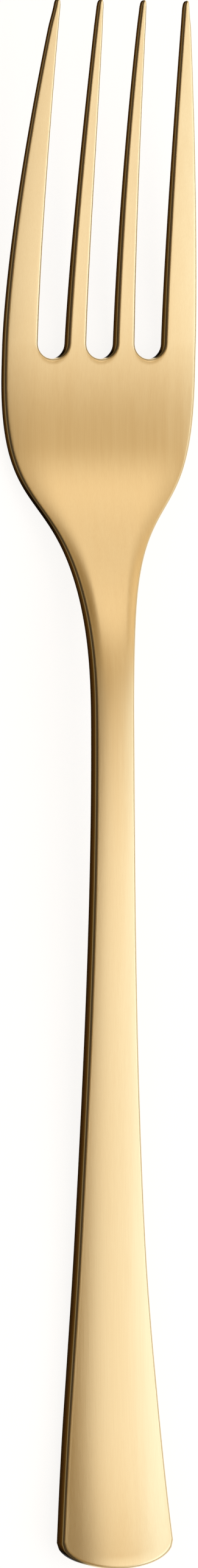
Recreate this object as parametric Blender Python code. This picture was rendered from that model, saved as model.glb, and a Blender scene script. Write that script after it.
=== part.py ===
"""A dinner fork pressed and ground from one steel blank, lying on its back.

Metres, +Z up, +Y towards the tips of the tines. The origin is on the table, under the middle of the fork.
Places along the fork are measured from the end of the handle until the mesh is made.
"""

import math

import bmesh
import bpy

# Lengths along the fork
HANDLE_LENGTH = 0.112  # end of the handle to the narrowest point of the neck
PALM_LENGTH = 0.0475  # narrowest point to the bottoms of the slots
TINE_LENGTH = 0.0464  # bottoms of the slots to the tips

# Outline of the handle and the palm
END_WIDTH = 0.0154
END_ROUND = 0.0034  # how far the rounded end reaches past its corners
NECK_WIDTH = 0.0054
HEAD_WIDTH = 0.0265
SHOULDER_SETBACK = 0.0017  # widest point to the bottoms of the slots
THROAT_PULL = 0.035  # how long the outline stays narrow past the neck
SHOULDER_PULL = 0.0247  # how early it turns along the shoulder

# Tines and slots
SLOT_WIDTH = 0.0041
INNER_TINE_WIDTH = 0.0026  # at its root; an outer tine takes what the head leaves
TIP_PITCH = 0.0059
TIP_WIDTH = 0.0007
TIP_ROUND = 0.0009  # length of the rounded point
TIP_BLEND = 0.004  # length over which the point is drawn out

# Thickness at the edges, and how far the top swells between them
END_THICKNESS = 0.003
NECK_THICKNESS = 0.0026
PALM_THICKNESS = 0.0022
TIP_THICKNESS = 0.0014
END_CROWN = 0.0009
NECK_CROWN = 0.00017
EDGE_RADIUS = 0.00045
TINE_EDGE_RADIUS = 0.0003

# Side profile, as heights of the fork's back above the table
END_LIFT = 0.0013
UPTURN_LENGTH = 0.0215
REST_LENGTH = 0.0055  # flat stretch that the handle rests on
NECK_HEIGHT = 0.0045
CREST_OFFSET = 0.0066  # narrowest point to the top of the arch
BOWL_SETBACK = 0.011  # lowest point of the bowl to the bottoms of the slots
BOWL_SWEEP = 0.025  # how softly the bowl runs out into straight tines
TIP_HEIGHT = 0.0127

# Curves' characters
HANDLE_POWER = 2.0  # the handle widens towards its end as this power
CROWN_POWER = 3.0  # and swells as this one
END_POWER = 2.0  # squareness of the rounded end; 2 is an ellipse
INNER_TINE_INSIDE_POWER = 3.0  # a tine's edges run from its root to its tip as these powers
INNER_TINE_OUTSIDE_POWER = 1.15
OUTER_TINE_INSIDE_POWER = 1.5
OUTER_TINE_OUTSIDE_POWER = 1.55
TIP_CROWDING = 1.6  # rows draw together towards the tips as this power

# Mesh steps
UPTURN_ROWS = 8
HANDLE_ROWS = 16
THROAT_ROWS = 17
ROOT_ROWS = 3
TINE_ROWS = 14
SLOT_COLUMNS = 8
TINE_COLUMNS = 6
EDGE_STEPS = 2

MOST_OF_WALL = 0.4  # a rounded edge takes at most this much of the wall
GOLD = (0.80, 0.58, 0.29, 1.0)
SATIN_ROUGHNESS = 0.3
SMOOTH_ANGLE = math.radians(40)
MERGE_DISTANCE = 1e-5

slot_y = HANDLE_LENGTH + PALM_LENGTH
root_y = slot_y + SLOT_WIDTH / 2  # where the slots' round bottoms meet their straight sides
tip_y = slot_y + TINE_LENGTH
widest_y = slot_y - SHOULDER_SETBACK
bowl_y = slot_y - BOWL_SETBACK
crest_y = HANDLE_LENGTH + CREST_OFFSET
rest_end_y = UPTURN_LENGTH + REST_LENGTH
end_blend = 4 * END_ROUND
slot_blend = 2.5 * SLOT_WIDTH

# The half blank is laid out in bands, from the middle out: half a slot, a tine, a slot, a tine
HALF_SLOT, INNER_TINE, SIDE_SLOT, OUTER_TINE = range(4)
BAND_STEPS = (SLOT_COLUMNS // 2, TINE_COLUMNS, SLOT_COLUMNS, TINE_COLUMNS)
INSIDE_POWER = {INNER_TINE: INNER_TINE_INSIDE_POWER, OUTER_TINE: OUTER_TINE_INSIDE_POWER}
OUTSIDE_POWER = {INNER_TINE: INNER_TINE_OUTSIDE_POWER, OUTER_TINE: OUTER_TINE_OUTSIDE_POWER}


def blend(low, high, share):
    return low + (high - low) * share


def ease(share):
    share = min(max(share, 0.0), 1.0)
    return share * share * (3 - 2 * share)


# Side profile


def underside(y):
    """Height of the back: an upturned end, a flat to rest on, an arched neck, a bowl and rising tines."""
    upturn = END_LIFT * max(0.0, 1 - y / UPTURN_LENGTH) ** 2
    rise = ease((y - rest_end_y) / (crest_y - rest_end_y))
    fall = ease((y - crest_y) / (bowl_y - crest_y))
    run = max(0.0, y - bowl_y)
    sweep = math.hypot(run, BOWL_SWEEP) - BOWL_SWEEP
    whole_sweep = math.hypot(tip_y - bowl_y, BOWL_SWEEP) - BOWL_SWEEP
    return upturn + NECK_HEIGHT * rise * (1 - fall) + TIP_HEIGHT * sweep / whole_sweep


def thickness(y):
    handle = blend(END_THICKNESS, NECK_THICKNESS, ease(y / HANDLE_LENGTH))
    palm = blend(handle, PALM_THICKNESS, ease((y - HANDLE_LENGTH) / (bowl_y - HANDLE_LENGTH)))
    return blend(palm, TIP_THICKNESS, ease((y - bowl_y) / (tip_y - bowl_y)))


def crown(y):
    along = max(0.0, 1 - y / HANDLE_LENGTH)
    handle = blend(NECK_CROWN, END_CROWN, along**CROWN_POWER)
    return handle * (1 - ease((y - HANDLE_LENGTH) / (bowl_y - HANDLE_LENGTH)))


def edge_radius(y):
    return blend(EDGE_RADIUS, TINE_EDGE_RADIUS, ease((y - slot_y) / TINE_LENGTH))


# Outline


def row(y, half_width):
    """A row of the palm: its place, its half width, and how far it bends to the end and to the slots."""
    end_pull = 1 - ease(y / end_blend)
    slot_pull = ease((y - root_y + slot_blend) / slot_blend)
    return y, half_width, end_pull, slot_pull


def handle_row(y):
    along = 1 - y / HANDLE_LENGTH
    return row(y, blend(NECK_WIDTH, END_WIDTH, along**HANDLE_POWER) / 2)


def throat_row(t):
    """A row of the throat, on a Bezier curve that leaves the neck and meets the head lengthwise."""
    weights = ((1 - t) ** 3, 3 * t * (1 - t) ** 2, 3 * t * t * (1 - t), t**3)
    places = (HANDLE_LENGTH, HANDLE_LENGTH + THROAT_PULL, widest_y - SHOULDER_PULL, widest_y)
    widths = (NECK_WIDTH, NECK_WIDTH, HEAD_WIDTH, HEAD_WIDTH)
    y = sum(weight * place for weight, place in zip(weights, places))
    return row(y, sum(weight * width for weight, width in zip(weights, widths)) / 2)


def make_palm_rows():
    rows = [handle_row(UPTURN_LENGTH * k / UPTURN_ROWS) for k in range(UPTURN_ROWS + 1)]
    free = HANDLE_LENGTH - rest_end_y
    rows += [handle_row(rest_end_y + free * k / HANDLE_ROWS) for k in range(HANDLE_ROWS)]
    rows += [throat_row(k / THROAT_ROWS) for k in range(THROAT_ROWS + 1)]
    rows += [row(blend(widest_y, root_y, (k + 1) / ROOT_ROWS), HEAD_WIDTH / 2) for k in range(ROOT_ROWS)]
    return rows


def make_columns():
    columns = [(HALF_SLOT, 0.0)]
    for band, steps in enumerate(BAND_STEPS):
        columns += [(band, (k + 1) / steps) for k in range(steps)]
    return columns


palm_rows = make_palm_rows()
columns = make_columns()
band_start = [sum(BAND_STEPS[:band]) for band in range(len(BAND_STEPS))]


def root_edges(inset):
    """Where the bands meet at the tines' roots, with the metal drawn in by inset."""
    slot = SLOT_WIDTH / 2
    inner = slot + INNER_TINE_WIDTH
    return 0.0, slot + inset, inner - inset, inner + SLOT_WIDTH + inset, HEAD_WIDTH / 2 - inset


def root_place(band, share, inset):
    """Where a column meets the roots, and how far a slot's round bottom drops it."""
    edges = root_edges(inset)
    if band in (INNER_TINE, OUTER_TINE):
        return blend(edges[band], edges[band + 1], share), 0.0
    middle = 0.0 if band == HALF_SLOT else (edges[band] + edges[band + 1]) / 2
    turn = (share if band == HALF_SLOT else 2 * share - 1) * math.pi / 2
    radius = SLOT_WIDTH / 2 + inset
    return middle + radius * math.sin(turn), radius * math.cos(turn)


def palm_point(row_index, column, inset_share):
    y, half_width, end_pull, slot_pull = palm_rows[row_index]
    inset = inset_share * edge_radius(y)
    root_x, drop = root_place(*columns[column], inset)
    across = root_x / (HEAD_WIDTH / 2 - inset)
    corner = 1 - max(0.0, 1 - across**END_POWER) ** (1 / END_POWER)
    y += end_pull * (inset + END_ROUND * corner) - slot_pull * drop
    return across * (half_width - inset), y, across


def tine_point(band, tine_row, column, inset_share):
    along = 1 - (1 - tine_row / TINE_ROWS) ** TIP_CROWDING
    y = blend(root_y, tip_y, along)
    root = root_edges(0.0)
    middle = TIP_PITCH * (0.5 if band == INNER_TINE else 1.5)
    low = blend(root[band], middle - TIP_WIDTH / 2, along ** INSIDE_POWER[band])
    high = blend(root[band + 1], middle + TIP_WIDTH / 2, along ** OUTSIDE_POWER[band])
    inset = inset_share * min(edge_radius(y), MOST_OF_WALL * (high - low))
    across = 2 * column / TINE_COLUMNS - 1
    pull = ease(1 - (tip_y - y) / TIP_BLEND)
    y -= pull * (inset + TIP_ROUND * (1 - math.sqrt(1 - across**2)))
    return blend(low + inset, high - inset, column / TINE_COLUMNS), y, 1.0


# Mesh


def palm_key(row_index, column):
    return palm_point, (row_index, column)


def tine_key(band, tine_row, column):
    if tine_row == 0:
        return palm_key(len(palm_rows) - 1, band_start[band] + column)
    return tine_point, (band, tine_row, column)


def sheet_quads():
    """The half blank's quads, as keys of their corners, anticlockwise from above."""
    quads = []

    def add_grid(key, rows, steps):
        for j in range(rows):
            for i in range(steps):
                quads.append((key(j, i), key(j, i + 1), key(j + 1, i + 1), key(j + 1, i)))

    add_grid(palm_key, len(palm_rows) - 1, len(columns) - 1)
    for band in (INNER_TINE, OUTER_TINE):
        add_grid(lambda j, i: tine_key(band, j, i), TINE_ROWS, TINE_COLUMNS)
    return quads


def outline_keys():
    """The half blank's edge, from the middle of the handle's end, round the tines, to the middle slot."""
    last_row, last_column = len(palm_rows) - 1, len(columns) - 1
    keys = [palm_key(0, column) for column in range(last_column)]
    keys += [palm_key(j, last_column) for j in range(last_row)]
    for tine, slot in ((OUTER_TINE, SIDE_SLOT), (INNER_TINE, HALF_SLOT)):
        keys += [tine_key(tine, j, TINE_COLUMNS) for j in range(TINE_ROWS)]
        keys += [tine_key(tine, TINE_ROWS, i) for i in range(TINE_COLUMNS, 0, -1)]
        keys += [tine_key(tine, j, 0) for j in range(TINE_ROWS, 0, -1)]
        keys += [palm_key(last_row, band_start[slot] + i) for i in range(BAND_STEPS[slot], 0, -1)]
    return keys + [palm_key(last_row, 0)]


def edge_levels():
    """The rounded edge from the top sheet to the bottom one: (is it the top's, inset share, depth share)."""
    turns = [math.pi / 2 * k / EDGE_STEPS for k in range(EDGE_STEPS + 1)]
    top = [(True, 1 - math.sin(turn), 1 - math.cos(turn)) for turn in turns]
    return top + [(False, inset, depth) for _, inset, depth in reversed(top)]


def place(key, level):
    """A point of the fork, in the part's own frame."""
    is_top, inset_share, depth_share = level
    point, address = key
    x, y, across = point(*address, inset_share)
    depth = depth_share * min(edge_radius(y), MOST_OF_WALL * thickness(y))
    if is_top:
        z = underside(y) + thickness(y) + crown(y) * (1 - across**2) - depth
    else:
        z = underside(y) + depth
    return x, y - tip_y / 2, z


def make_half_fork():
    """A mesh of the fork's right half, open where it meets its mirror image."""
    bm = bmesh.new()
    levels = edge_levels()
    points = {}

    def vert(level_index, key):
        if (level_index, key) not in points:
            points[level_index, key] = bm.verts.new(place(key, levels[level_index]))
        return points[level_index, key]

    for quad in sheet_quads():
        bm.faces.new([vert(0, key) for key in quad])
        bm.faces.new([vert(len(levels) - 1, key) for key in reversed(quad)])
    keys = outline_keys()
    for level in range(len(levels) - 1):
        for here, there in zip(keys, keys[1:]):
            corners = ((level, here), (level + 1, here), (level + 1, there), (level, there))
            bm.faces.new([vert(*corner) for corner in corners])
    mesh = bpy.data.meshes.new("fork")
    bm.to_mesh(mesh)
    bm.free()
    return mesh


def gold_finish():
    material = bpy.data.materials.new("satin_gold")
    material.use_nodes = True
    shader = material.node_tree.nodes["Principled BSDF"]
    shader.inputs["Base Color"].default_value = GOLD
    shader.inputs["Metallic"].default_value = 1.0
    shader.inputs["Roughness"].default_value = SATIN_ROUGHNESS
    return material


def make_fork():
    mesh = make_half_fork()
    mesh.shade_smooth()
    mesh.set_sharp_from_angle(angle=SMOOTH_ANGLE)
    mesh.materials.append(gold_finish())
    fork = bpy.data.objects.new("fork", mesh)
    bpy.context.scene.collection.objects.link(fork)
    mirror = fork.modifiers.new("other_half", "MIRROR")
    mirror.use_axis = (True, False, False)
    mirror.merge_threshold = MERGE_DISTANCE
    return fork


for leftover in list(bpy.data.objects):
    bpy.data.objects.remove(leftover, do_unlink=True)
make_fork()
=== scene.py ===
import math
from functools import partial

import bmesh
import bpy
from mathutils import Matrix, Vector


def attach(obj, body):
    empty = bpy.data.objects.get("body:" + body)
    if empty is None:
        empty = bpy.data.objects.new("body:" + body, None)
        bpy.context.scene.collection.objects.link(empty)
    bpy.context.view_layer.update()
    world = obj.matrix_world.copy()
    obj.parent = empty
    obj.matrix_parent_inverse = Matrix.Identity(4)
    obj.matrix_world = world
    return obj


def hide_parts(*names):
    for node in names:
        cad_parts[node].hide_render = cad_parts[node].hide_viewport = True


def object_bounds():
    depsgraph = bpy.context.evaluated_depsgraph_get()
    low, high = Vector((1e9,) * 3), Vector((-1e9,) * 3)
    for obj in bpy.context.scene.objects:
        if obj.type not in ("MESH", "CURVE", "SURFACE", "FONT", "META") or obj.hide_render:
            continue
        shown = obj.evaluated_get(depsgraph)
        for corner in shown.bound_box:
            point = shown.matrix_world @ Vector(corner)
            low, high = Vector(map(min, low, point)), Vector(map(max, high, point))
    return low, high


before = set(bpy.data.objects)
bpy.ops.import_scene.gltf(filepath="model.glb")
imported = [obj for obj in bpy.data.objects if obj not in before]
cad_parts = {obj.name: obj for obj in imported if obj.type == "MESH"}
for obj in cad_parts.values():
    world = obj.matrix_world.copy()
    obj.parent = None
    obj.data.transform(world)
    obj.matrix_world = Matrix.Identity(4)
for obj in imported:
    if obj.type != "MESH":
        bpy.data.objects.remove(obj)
cadLow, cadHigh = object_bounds()
print("frame loaded: nodes", sorted(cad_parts))

scene = bpy.context.scene
scene.view_settings.view_transform = "Standard"


class Wire:  # a node's output socket; sums on wires add Math nodes to the tree
    def __init__(self, tree, socket):
        self.tree = tree
        self.socket = socket

    def math(self, operation, first, second):
        return addNode(self.tree, "ShaderNodeMath", {"operation": operation}, {0: first, 1: second})

    def __add__(self, other):
        return self.math("ADD", self, other)

    def __radd__(self, other):
        return self.math("ADD", other, self)

    def __sub__(self, other):
        return self.math("SUBTRACT", self, other)

    def __rsub__(self, other):
        return self.math("SUBTRACT", other, self)

    def __mul__(self, other):
        return self.math("MULTIPLY", self, other)

    def __rmul__(self, other):
        return self.math("MULTIPLY", other, self)

    def __truediv__(self, other):
        return self.math("DIVIDE", self, other)

    def __pow__(self, other):
        return self.math("POWER", self, other)


def addNode(tree, kind, settings, values, output=0):
    node = tree.nodes.new(kind)
    for name, value in settings.items():
        setattr(node, name, value)
    for name, value in values.items():
        if isinstance(value, Wire):
            tree.links.new(value.socket, node.inputs[name])
        else:
            node.inputs[name].default_value = value
    return Wire(tree, node.outputs[output]) if node.outputs else node


def smoothRange(value, start, end, low=0.0, high=1.0):
    limits = {"From Min": start, "From Max": end, "To Min": low, "To Max": high}
    settings = {"interpolation_type": "SMOOTHSTEP"}
    return addNode(value.tree, "ShaderNodeMapRange", settings, {"Value": value, **limits})


def mixColour(factor, low, high):  # the Mix node's colour sockets go by number
    return addNode(factor.tree, "ShaderNodeMix", {"data_type": "RGBA"}, {0: factor, 6: low, 7: high}, 2)


def emptyTree(block):  # of a material or a world
    block.use_nodes = True
    block.node_tree.nodes.clear()
    return block.node_tree


def mixValue(low, high, share):
    return low + (high - low) * share


def ease(share):
    share = min(max(share, 0.0), 1.0)
    return share * share * (3 - 2 * share)


# The fork, in metres. Places along it are measured from the end of the handle.
forkSizes = {
    "length": cadHigh.y - cadLow.y,
    "headWidth": cadHigh.x - cadLow.x,
    "handleLength": 0.112,  # end of the handle to the narrowest point of the neck
    "slotBottom": 0.1595,
    "endWidth": 0.0154,
    "endRound": 0.0034,  # how far the rounded end reaches past its corners
    "endBlend": 4.0,  # its curve fades over this many times that
    "endPower": 2.0,
    "neckWidth": 0.0054,
    "handlePower": 2.0,
    "endFill": 0.00028,  # the handle's sides are a little fuller near its end
    "endFillAt": 0.013,
    "endFillReach": 0.03,
    "shoulderSetback": 0.0017,
    "throatPull": 0.035,
    "shoulderPull": 0.0247,
    "slotWidth": 0.0041,
    "slotBlend": 2.5,  # the curve of the slots' bottoms fades over this many widths
    "innerTineWidth": 0.0026,
    "tipPitch": 0.0059,
    "tipWidth": 0.0007,
    "tipRound": 0.0009,
    "tipBlend": 0.004,
    "tinePowers": ((3.0, 1.15), (1.5, 1.55)),  # inner tine's edges, then the outer's, inside and outside
    "endThickness": 0.003,
    "neckThickness": 0.0026,
    "palmThickness": 0.0022,
    "tipThickness": 0.0014,
    "endCrown": 0.0009,
    "neckCrown": 0.00017,
    "crownPower": 3.0,
    "edgeRadius": 0.00045,
    "tineEdgeRadius": 0.0003,
    "rollDepth": 0.00019,  # the head's margins, rolled off a little
    "rollStart": 0.115,
    "rollReach": 0.016,
    "rollFrom": 0.6,  # share of the half width
    "mostOfWall": 0.4,  # a rounded edge takes at most this much of the wall
    "endLift": 0.0013,
    "upturn": 0.0215,
    "restLength": 0.0055,
    "neckHeight": 0.0045,
    "crestOffset": 0.0066,
    "crestSoften": 0.005,  # the neck's crest is rounded over about this length
    "bowlSetback": 0.011,
    "bowlSweep": 0.025,
    "tipHeight": 0.0127,
}
forkMesh = {
    "handleRows": 90,
    "throatRows": 60,
    "rootRows": 8,
    "tineRows": 48,
    "tipCrowding": 1.6,
    "slotColumns": 20,
    "tineColumns": 10,
    "edgeSteps": 6,
    "mergeDistance": 1e-6,
}

size = forkSizes
rootY = size["slotBottom"] + size["slotWidth"] / 2  # the slots' round bottoms meet their straight sides
widestY = size["slotBottom"] - size["shoulderSetback"]
bowlY = size["slotBottom"] - size["bowlSetback"]
crestY = size["handleLength"] + size["crestOffset"]
restEndY = size["upturn"] + size["restLength"]
endBlend = size["endBlend"] * size["endRound"]
slotBlend = size["slotBlend"] * size["slotWidth"]

slotColumns, tineColumns = forkMesh["slotColumns"], forkMesh["tineColumns"]
halfSlot, innerTine, sideSlot, outerTine = range(4)  # bands of the half blank, from the middle out
bandSteps = (slotColumns // 2, tineColumns, slotColumns, tineColumns)
bandStart = [sum(bandSteps[:band]) for band in range(len(bandSteps))]


def palmShare(y):  # from the neck to the bottom of the bowl
    return ease((y - size["handleLength"]) / (bowlY - size["handleLength"]))


def thickness(y):
    handle = mixValue(size["endThickness"], size["neckThickness"], ease(y / size["handleLength"]))
    palm = mixValue(handle, size["palmThickness"], palmShare(y))
    return mixValue(palm, size["tipThickness"], ease((y - bowlY) / (size["length"] - bowlY)))


def crown(y):
    along = max(0.0, 1 - y / size["handleLength"])
    handle = mixValue(size["neckCrown"], size["endCrown"], along ** size["crownPower"])
    return handle * (1 - palmShare(y))


def marginDrop(y, across):
    rise = ease((y - size["rollStart"]) / size["rollReach"])
    toTip = min(1.0, (size["length"] - y) / (size["length"] - rootY))
    outward = max(0.0, (across - size["rollFrom"]) / (1 - size["rollFrom"]))
    return size["rollDepth"] * rise * toTip * outward**2


def edgeRadius(y):
    tineShare = ease((y - size["slotBottom"]) / (size["length"] - size["slotBottom"]))
    return mixValue(size["edgeRadius"], size["tineEdgeRadius"], tineShare)


def blankRow(y, halfWidth):
    endPull = 1 - ease(y / endBlend)
    slotPull = ease((y - rootY + slotBlend) / slotBlend)
    return y, halfWidth, endPull, slotPull


def handleRow(y):
    along = 1 - y / size["handleLength"]
    width = mixValue(size["neckWidth"], size["endWidth"], along ** size["handlePower"])
    pastFill = (y - size["endFillAt"]) / size["endFillReach"]
    fill = size["endFill"] * ease(y / size["endFillAt"]) * (1 - ease(pastFill))
    return blankRow(y, width / 2 + fill)


def throatRow(t):
    weights = ((1 - t) ** 3, 3 * t * (1 - t) ** 2, 3 * t * t * (1 - t), t**3)
    start = size["handleLength"]
    places = (start, start + size["throatPull"], widestY - size["shoulderPull"], widestY)
    widths = (size["neckWidth"], size["neckWidth"], size["headWidth"], size["headWidth"])
    y = sum(weight * place for weight, place in zip(weights, places))
    return blankRow(y, sum(weight * width for weight, width in zip(weights, widths)) / 2)


def makeBlankRows():
    handle, throat, root = (forkMesh[name] for name in ("handleRows", "throatRows", "rootRows"))
    rows = [handleRow(size["handleLength"] * k / handle) for k in range(handle)]
    rows += [throatRow(k / throat) for k in range(throat + 1)]
    rootPlaces = [mixValue(widestY, rootY, (k + 1) / root) for k in range(root)]
    return rows + [blankRow(y, size["headWidth"] / 2) for y in rootPlaces]


blankRows = makeBlankRows()
blankColumns = [(halfSlot, 0.0)]
for bandIndex, stepCount in enumerate(bandSteps):
    blankColumns += [(bandIndex, (k + 1) / stepCount) for k in range(stepCount)]


def rootEdges(inset):
    slot = size["slotWidth"] / 2
    inner = slot + size["innerTineWidth"]
    outer = inner + size["slotWidth"]
    return 0.0, slot + inset, inner - inset, outer + inset, size["headWidth"] / 2 - inset


def rootPlace(band, share, inset):
    edges = rootEdges(inset)
    if band in (innerTine, outerTine):
        return mixValue(edges[band], edges[band + 1], share), 0.0
    middle = 0.0 if band == halfSlot else (edges[band] + edges[band + 1]) / 2
    turn = (share if band == halfSlot else 2 * share - 1) * math.pi / 2
    radius = size["slotWidth"] / 2 + inset
    return middle + radius * math.sin(turn), radius * math.cos(turn)


def palmPoint(rowIndex, column, insetShare):
    y, halfWidth, endPull, slotPull = blankRows[rowIndex]
    inset = insetShare * edgeRadius(y)
    rootX, drop = rootPlace(*blankColumns[column], inset)
    across = rootX / (size["headWidth"] / 2 - inset)
    corner = 1 - max(0.0, 1 - across ** size["endPower"]) ** (1 / size["endPower"])
    y += endPull * (inset + size["endRound"] * corner) - slotPull * drop
    return across * (halfWidth - inset), y, across


def tinePoint(band, tineRow, column, insetShare):
    along = 1 - (1 - tineRow / forkMesh["tineRows"]) ** forkMesh["tipCrowding"]
    y = mixValue(rootY, size["length"], along)
    root = rootEdges(0.0)
    order = 0 if band == innerTine else 1
    middle = size["tipPitch"] * (order + 0.5)
    inside, outside = size["tinePowers"][order]
    low = mixValue(root[band], middle - size["tipWidth"] / 2, along**inside)
    high = mixValue(root[band + 1], middle + size["tipWidth"] / 2, along**outside)
    inset = insetShare * min(edgeRadius(y), size["mostOfWall"] * (high - low))
    share = column / tineColumns
    pull = ease(1 - (size["length"] - y) / size["tipBlend"])
    tipRound = size["tipRound"] * (1 - 2 * inset / (high - low))
    y -= pull * (inset + tipRound * (1 - math.sqrt(1 - (2 * share - 1) ** 2)))
    across = mixValue(root[band], root[band + 1], share) / root[-1]
    return mixValue(low + inset, high - inset, share), y, across


def palmKey(rowIndex, column):
    return palmPoint, (rowIndex, column)


def tineKey(band, tineRow, column):
    if tineRow == 0:
        return palmKey(len(blankRows) - 1, bandStart[band] + column)
    return tinePoint, (band, tineRow, column)


def sheetQuads():
    quads = []

    def addGrid(key, rows, steps):
        for j in range(rows):
            for i in range(steps):
                quads.append((key(j, i), key(j, i + 1), key(j + 1, i + 1), key(j + 1, i)))

    addGrid(palmKey, len(blankRows) - 1, len(blankColumns) - 1)
    for band in (innerTine, outerTine):
        addGrid(partial(tineKey, band), forkMesh["tineRows"], tineColumns)
    return quads


def outlineKeys():
    lastRow, lastColumn = len(blankRows) - 1, len(blankColumns) - 1
    tineRows = forkMesh["tineRows"]
    keys = [palmKey(0, column) for column in range(lastColumn)]
    keys += [palmKey(j, lastColumn) for j in range(lastRow)]
    for tine, slot in ((outerTine, sideSlot), (innerTine, halfSlot)):
        keys += [tineKey(tine, j, tineColumns) for j in range(tineRows)]
        keys += [tineKey(tine, tineRows, i) for i in range(tineColumns, 0, -1)]
        keys += [tineKey(tine, j, 0) for j in range(tineRows, 0, -1)]
        keys += [palmKey(lastRow, bandStart[slot] + i) for i in range(bandSteps[slot], 0, -1)]
    return keys + [palmKey(lastRow, 0)]


def edgeLevels():
    turns = [math.pi / 2 * k / forkMesh["edgeSteps"] for k in range(forkMesh["edgeSteps"] + 1)]
    top = [(True, 1 - math.sin(turn), 1 - math.cos(turn)) for turn in turns]
    return top + [(False, inset, depth) for _, inset, depth in reversed(top)]


def blankPlace(key, level):
    isTop, insetShare, depthShare = level
    point, address = key
    x, y, across = point(*address, insetShare)
    depth = depthShare * min(edgeRadius(y), size["mostOfWall"] * thickness(y))
    top = thickness(y) + crown(y) * (1 - across**2) - marginDrop(y, across)
    return x, y, top - depth if isTop else depth


def cutBlank():  # the flat blank, rolled to its thickness, with its edges ground round
    bm = bmesh.new()
    levels = edgeLevels()
    points = {}

    def vert(levelIndex, key):
        if (levelIndex, key) not in points:
            points[levelIndex, key] = bm.verts.new(blankPlace(key, levels[levelIndex]))
        return points[levelIndex, key]

    for quad in sheetQuads():
        bm.faces.new([vert(0, key) for key in quad])
        bm.faces.new([vert(len(levels) - 1, key) for key in reversed(quad)])
    keys = outlineKeys()
    for level in range(len(levels) - 1):
        for here, there in zip(keys, keys[1:]):
            corners = ((level, here), (level + 1, here), (level + 1, there), (level, there))
            bm.faces.new([vert(*corner) for corner in corners])
    half = list(bm.verts) + list(bm.edges) + list(bm.faces)
    copied = bmesh.ops.duplicate(bm, geom=half)["geom"]
    others = [item for item in copied if isinstance(item, bmesh.types.BMVert)]
    bmesh.ops.scale(bm, vec=(-1, 1, 1), verts=others)
    bmesh.ops.remove_doubles(bm, verts=bm.verts, dist=forkMesh["mergeDistance"])
    bmesh.ops.recalc_face_normals(bm, faces=bm.faces)
    mesh = bpy.data.meshes.new("flatBlank")
    bm.to_mesh(mesh)
    bm.free()
    mesh.shade_smooth()
    return mesh


# The press: a tree that bends the flat blank to the fork's side profile
pressSizes = {
    "End lift": size["endLift"],
    "Upturn": size["upturn"],
    "Rest end": restEndY,
    "Neck height": size["neckHeight"],
    "Crest": crestY,
    "Crest soften": size["crestSoften"],
    "Bowl": bowlY,
    "Bowl sweep": size["bowlSweep"],
    "Tip height": size["tipHeight"],
    "Tip": size["length"],
}


def pressTree():
    tree = bpy.data.node_groups.new("pressFork", "GeometryNodeTree")
    tree.interface.new_socket("Geometry", in_out="INPUT", socket_type="NodeSocketGeometry")
    for name in pressSizes:
        tree.interface.new_socket(name, in_out="INPUT", socket_type="NodeSocketFloat")
    tree.interface.new_socket("Finish", in_out="INPUT", socket_type="NodeSocketMaterial")
    tree.interface.new_socket("Geometry", in_out="OUTPUT", socket_type="NodeSocketGeometry")
    entry = tree.nodes.new("NodeGroupInput")
    given = {socket.name: Wire(tree, socket) for socket in entry.outputs}
    add = partial(addNode, tree)

    def atLeastZero(value):
        return value.math("MAXIMUM", value, 0.0)

    def reach(run):
        return (run * run + given["Bowl sweep"] * given["Bowl sweep"]) ** 0.5 - given["Bowl sweep"]

    y = add("ShaderNodeSeparateXYZ", {}, {0: add("GeometryNodeInputPosition", {}, {})}, "Y")
    beforeUpturn = atLeastZero(1 - y / given["Upturn"])
    endLift = given["End lift"] * beforeUpturn * beforeUpturn
    rise = smoothRange(y, given["Rest end"], given["Crest"])
    past = y - given["Crest"]
    soften = given["Crest soften"]
    softPast = (past + (past * past + soften * soften) ** 0.5) / 2
    fall = smoothRange(softPast, 0.0, given["Bowl"] - given["Crest"])
    arch = given["Neck height"] * rise * (1 - fall)
    pastBowl = atLeastZero(y - given["Bowl"])
    tines = given["Tip height"] * reach(pastBowl) / reach(given["Tip"] - given["Bowl"])
    toMiddle = given["Tip"] / -2  # the frame's middle is the fork's
    lift = add("ShaderNodeCombineXYZ", {}, {"Y": toMiddle, "Z": endLift + arch + tines})
    pressed = add("GeometryNodeSetPosition", {}, {"Geometry": given["Geometry"], "Offset": lift})
    finished = add("GeometryNodeSetMaterial", {}, {"Geometry": pressed, "Material": given["Finish"]})
    whole = add("GeometryNodeRealizeInstances", {}, {"Geometry": finished})
    leave = tree.nodes.new("NodeGroupOutput")
    tree.links.new(whole.socket, leave.inputs["Geometry"])
    return tree


def pressFork(finish):
    blank = bpy.data.objects.new("flatBlank", cutBlank())
    scene.collection.objects.link(blank)
    press = blank.modifiers.new("press", "NODES")
    tree = pressTree()
    press.node_group = tree
    for item in tree.interface.items_tree:
        if item.in_out == "INPUT" and item.name in pressSizes:
            press[item.identifier] = pressSizes[item.name]
        if item.name == "Finish":
            press[item.identifier] = finish
    bpy.context.view_layer.update()
    pressed = blank.evaluated_get(bpy.context.evaluated_depsgraph_get())
    mesh = bpy.data.meshes.new_from_object(pressed)
    mesh.name = "goldFork"
    fork = bpy.data.objects.new("goldFork", mesh)
    scene.collection.objects.link(fork)
    bpy.data.objects.remove(blank)
    return fork


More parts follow.
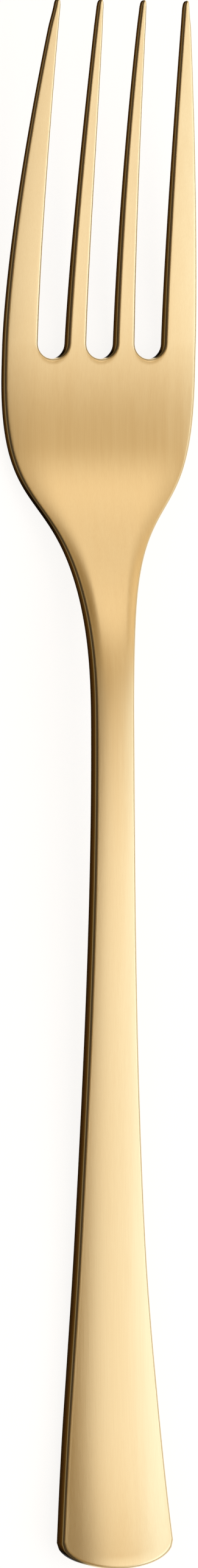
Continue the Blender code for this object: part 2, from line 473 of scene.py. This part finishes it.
# Satin gold over steel, with painted shade on the edges and walls that face left
goldFinish = {
    "pale": (0.90, 0.735, 0.45, 1.0),
    "deep": (0.83, 0.65, 0.375, 1.0),
    "paleShare": 0.5,  # where the grain is at its mean
    "grainContrast": 2.5,
    "lineWeight": 0.4,  # shares of the grain
    "streakWeight": 0.35,
    "cloudWeight": 0.25,
    "noiseMean": 0.5,
    "glance": (1.0, 1.0, 1.0, 1.0),  # share of the light that a glancing look still finds
    "roughness": 0.30,
    "roughnessSpread": 0.10,
    # Painted shade: what faces left gets a dark, brown gold for the shade it stands in
    "paintedEdgeShade": (0.105, 0.073, 0.034, 1.0),  # painted shade: the edges that turn left are painted dark
    "paintedWallShade": (0.25, 0.174, 0.082, 1.0),  # and the walls under them a painted shaded brown, darker at a glance
    "paintedShadeGlance": (0.0, 0.0, 0.0, 1.0),
    "leftRoughness": 0.25,
    "edgeFrom": 0.24,  # sines of the turn to the left, where the painted shade starts and where it is full
    "edgeTo": 0.45,
    "wallFrom": 0.80,
    "wallTo": 0.98,
    "lineWidth": 0.00012,  # brushing, in metres
    "lineLength": 0.010,
    "lineDepth": 0.000006,
    "lineStrength": 0.5,  # share of that depth that shows
    "streakWidth": 0.0009,
    "streakLength": 0.040,
    "cloudSize": 0.018,
}


def satinGold():
    look = goldFinish
    material = bpy.data.materials.new("satinGold")
    add = partial(addNode, emptyTree(material))
    place = add("ShaderNodeTexCoord", {}, {}, "Object")

    def streaks(width, length):
        stretch = (1 / width, 1 / length, 1 / width)
        run = add("ShaderNodeVectorMath", {"operation": "MULTIPLY"}, {0: place, 1: stretch})
        return add("ShaderNodeTexNoise", {}, {"Vector": run, "Scale": 1.0})

    lines = streaks(look["lineWidth"], look["lineLength"])
    bands = streaks(look["streakWidth"], look["streakLength"])
    clouds = add("ShaderNodeTexNoise", {}, {"Vector": place, "Scale": 1 / look["cloudSize"]})
    blend = lines * look["lineWeight"] + bands * look["streakWeight"] + clouds * look["cloudWeight"]
    grain = blend - look["noiseMean"]
    face = mixColour(look["paleShare"] + look["grainContrast"] * grain, look["deep"], look["pale"])
    satin = look["roughness"] + look["roughnessSpread"] * grain
    depth = {"Strength": look["lineStrength"], "Distance": look["lineDepth"]}
    bump = add("ShaderNodeBump", {}, {"Height": lines, **depth})
    # painted shade: surfaces that turn to the left are mixed towards a darker gold
    facing = add("ShaderNodeSeparateXYZ", {}, {0: add("ShaderNodeNewGeometry", {}, {}, "Normal")}, "X")
    turn = 0 - facing  # to the left
    paintedEdgeShade = smoothRange(turn, look["edgeFrom"], look["edgeTo"])
    paintedWallShade = smoothRange(turn, look["wallFrom"], look["wallTo"])

    def gold(colour, rough, glance):
        metal = {"Base Color": colour, "Metallic": 1.0, "Roughness": rough, "Specular Tint": glance}
        return add("ShaderNodeBsdfPrincipled", {}, {"Normal": bump, **metal})

    bright = gold(face, satin, look["glance"])
    # the painted shade: dark edges over brown walls
    shade = mixColour(paintedWallShade, look["paintedEdgeShade"], look["paintedWallShade"])
    dark = gold(shade, look["leftRoughness"], look["paintedShadeGlance"])
    surface = add("ShaderNodeMixShader", {}, {0: paintedEdgeShade, 1: bright, 2: dark})
    add("ShaderNodeOutputMaterial", {}, {"Surface": surface})
    return material


goldFork = pressFork(satinGold())
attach(goldFork, "root")
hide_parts("fork")
print("fork pressed:", len(goldFork.data.polygons), "faces")

# A pale paper floor, wider than any view
floorSizes = {
    "radius": 6.0,
    "corners": 96,
    "drop": 0.00005,  # under the fork, so that the two don't share a plane
    "albedo": 0.86,
    "seenGain": 2.3,  # what a look or a reflection sees, against what the paper gives back
    "shadowFade": 0.86,  # how far a look bleaches the paper under the fork
    "clearNear": 0.15,  # past this it fades to plain white
    "clearFar": 0.45,
    "white": 1.0,
}


def paperFloor():
    middle = (0, 0, -floorSizes["drop"])
    bpy.ops.mesh.primitive_circle_add(
        vertices=floorSizes["corners"], radius=floorSizes["radius"], fill_type="NGON", location=middle
    )
    floor = bpy.context.object
    floor.name = "paperFloor"
    material = bpy.data.materials.new("palePaper")
    add = partial(addNode, emptyTree(material))

    def lightPath(name):
        return add("ShaderNodeLightPath", {}, {}, name)

    looks = lightPath("Is Camera Ray") + lightPath("Is Glossy Ray") + lightPath("Is Transmission Ray")
    clamped = {"operation": "SUBTRACT", "use_clamp": True}
    seen = add("ShaderNodeMath", clamped, {0: looks, 1: lightPath("Diffuse Depth")})
    tone = floorSizes["albedo"] * (1 + seen * (floorSizes["seenGain"] - 1))
    colour = add("ShaderNodeCombineColor", {}, {"Red": tone, "Green": tone, "Blue": tone})
    paper = add("ShaderNodeBsdfDiffuse", {}, {"Color": colour})
    white = floorSizes["white"]
    plain = add("ShaderNodeEmission", {}, {"Color": (white, white, white, 1.0), "Strength": 1.0})
    place = add("ShaderNodeTexCoord", {}, {}, "Object")
    away = add("ShaderNodeVectorMath", {"operation": "LENGTH"}, {0: place}, "Value")
    far = smoothRange(away, floorSizes["clearNear"], floorSizes["clearFar"])
    fade = floorSizes["shadowFade"]
    bleached = seen * (fade + far * (1 - fade))
    surface = add("ShaderNodeMixShader", {}, {0: bleached, 1: paper, 2: plain})
    add("ShaderNodeOutputMaterial", {}, {"Surface": surface})
    floor.data.materials.append(material)


paperFloor()
print("floor laid")

# A ceiling of soft panels and warm cards, brightest over the fork's right side, and a pale sky
coolLight = (0.74, 0.86, 1.0)
whiteLight = (1.0, 1.0, 1.0)
warmLight = (1.0, 0.87, 0.70)
honeyLight = (1.0, 0.75, 0.42)
amberLight = (1.0, 0.62, 0.15)
ceilingHeight = 0.45
ceilingPanels = {  # reach across the fork, reach along it, radiance, colour
    "rightPanel": ((0.30, 0.80), (-0.62, 0.03), 1.78, coolLight),
    "rightCard": ((0.30, 0.80), (0.03, 0.62), 0.75, honeyLight),
    "endPanel": ((0.04, 0.30), (-0.62, -0.14), 0.87, warmLight),
    "handlePanel": ((0.02, 0.30), (-0.14, -0.05), 1.32, whiteLight),
    "neckPanel": ((0.02, 0.30), (-0.05, -0.018), 1.55, warmLight),
    "amberCard": ((0.05, 0.30), (-0.018, 0.056), 0.42, amberLight),
    "honeyCard": ((0.02, 0.30), (0.056, 0.115), 0.66, honeyLight),
    "shoulderPanel": ((0.05, 0.26), (0.115, 0.17), 1.00, warmLight),
    "headPanel": ((0.05, 0.26), (0.17, 0.25), 1.50, warmLight),
    "farPanel": ((0.05, 0.26), (0.25, 0.62), 0.95, warmLight),
    "leftCard": ((-0.05, 0.02), (-0.62, -0.05), 0.34, amberLight),
    "headCard": ((-0.05, 0.02), (0.06, 0.62), 0.34, amberLight),
    "leftShade": ((-0.25, -0.05), (-0.62, 0.62), 0.22, amberLight),
    "leftFill": ((-0.80, -0.25), (-0.62, 0.62), 0.62, warmLight),
}
skyGlow = {  # heights are sines
    "ground": 1.0,  # past the paper's end
    "groundTint": (1.0, 1.0, 1.0, 1.0),
    "skyTint": (1.0, 0.90, 0.76, 1.0),
    "groundEnd": 0.0,
    "skyStart": 0.08,
    "sky": 0.46,
    "skyEnd": 0.50,
    "zenithStart": 0.75,
    "zenith": 0.04,  # dim behind the panels
    "left": 0.34,  # dim on the fork's left, for its dark edges
    "leftStart": -0.50,
    "leftFull": -0.80,
}


def hangPanel(name, across, along, radiance, colour):
    light = bpy.data.lights.new(name, "AREA")
    light.shape = "RECTANGLE"
    light.size = across[1] - across[0]
    light.size_y = along[1] - along[0]
    light.energy = radiance * math.pi * light.size * light.size_y  # a flat lamp's power
    light.color = colour
    panel = bpy.data.objects.new(name, light)
    panel.location = (sum(across) / 2, sum(along) / 2, ceilingHeight)
    panel.visible_camera = False
    scene.collection.objects.link(panel)


def paleSky():
    look = skyGlow
    world = bpy.data.worlds.new("paleSky")
    add = partial(addNode, emptyTree(world))
    place = add("ShaderNodeTexCoord", {}, {}, "Generated")

    def toward(axis):
        return add("ShaderNodeSeparateXYZ", {}, {0: place}, axis)

    sides = smoothRange(toward("X"), look["leftStart"], look["leftFull"], look["sky"], look["left"])
    high = smoothRange(toward("Z"), look["skyEnd"], look["zenithStart"])
    above = smoothRange(toward("Z"), look["groundEnd"], look["skyStart"])
    dome = sides * (1 - high) + look["zenith"] * high
    glow = look["ground"] * (1 - above) + dome * above
    tint = mixColour(above, look["groundTint"], look["skyTint"])
    sky = add("ShaderNodeBackground", {}, {"Color": tint, "Strength": glow})
    add("ShaderNodeOutputWorld", {}, {"Surface": sky})
    scene.world = world


for panelName, panel in ceilingPanels.items():
    hangPanel(panelName, *panel)
paleSky()
print("lights set")

# The camera looks down from the fork's left, with the tips at the top of the picture
cameraSet = {
    "lean": math.radians(18),
    "roll": math.radians(0.705),
    "lens": 200.0,
    "sensor": 36.0,
    "frameHeight": 0.20644,  # what the picture's long side holds, at the fork
    "across": -0.00013,  # picture's middle, from the fork's
    "along": 0.00045,
    "focusHeight": 0.005,
}


def setCamera():
    shot = cameraSet
    lens = bpy.data.cameras.new("photoCamera")
    lens.lens = shot["lens"]
    lens.sensor_width = shot["sensor"]
    camera = bpy.data.objects.new("photoCamera", lens)
    scene.collection.objects.link(camera)
    side = Vector((math.cos(shot["lean"]), 0, math.sin(shot["lean"])))
    back = Vector((-math.sin(shot["lean"]), 0, math.cos(shot["lean"])))
    along = Vector((0, 1, 0))
    right = side * math.cos(shot["roll"]) - along * math.sin(shot["roll"])
    up = along * math.cos(shot["roll"]) + side * math.sin(shot["roll"])
    distance = shot["frameHeight"] * shot["lens"] / shot["sensor"]
    middle = side * shot["across"] + along * shot["along"] + back * shot["focusHeight"]
    turn = Matrix((right, up, back)).transposed().to_4x4()
    camera.matrix_world = Matrix.Translation(middle + back * distance) @ turn
    scene.camera = camera


setCamera()
print("camera set")
